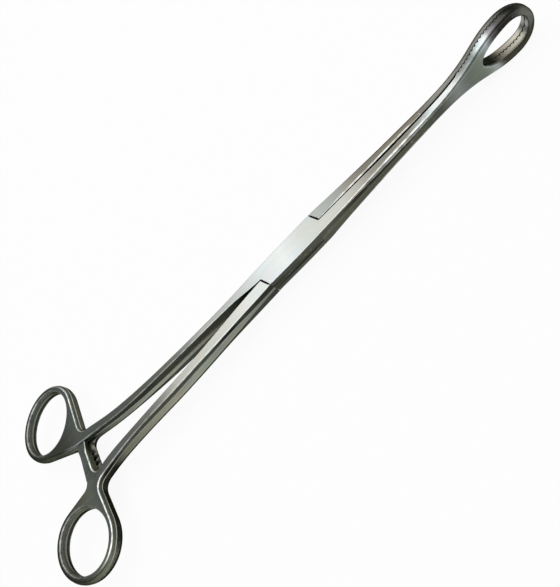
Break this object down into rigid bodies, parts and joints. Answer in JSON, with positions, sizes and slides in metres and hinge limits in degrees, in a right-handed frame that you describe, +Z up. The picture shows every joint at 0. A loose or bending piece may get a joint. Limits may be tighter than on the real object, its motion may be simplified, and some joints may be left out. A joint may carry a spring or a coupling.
{
  "type": "sponge forceps",
  "caption": "Surgical holding forceps with serrated ring jaws, a box lock, finger rings and a ratchet, which opens as a hinged pair of halves.",
  "frame": {"origin": "on the pivot axis of the box lock, in the plane of the lock's lower flat face", "axes": "+X from the finger rings towards the jaws, +Z up along the pivot axis, +Y towards the finger ring of the half with the box"},
  "size_m": [0.2456, 0.0874, 0.0168],
  "materials": {
    "satin_steel": "satin ground and polished stainless steel",
    "pin_steel": "satin stainless steel, ground flush"
  },
  "bodies": {
    "female_side": {"female_half": "satin_steel", "lock_pin": "pin_steel"},
    "male_side": {"male_half": "satin_steel"}
  },
  "joints": [
    {"name": "box_lock_pivot", "type": "hinge", "parent": "female_side", "child": "male_side", "pos_m": [0, 0, 0.0029], "axis": [0, 0, 1], "range_deg": [0, 32]}
  ]
}
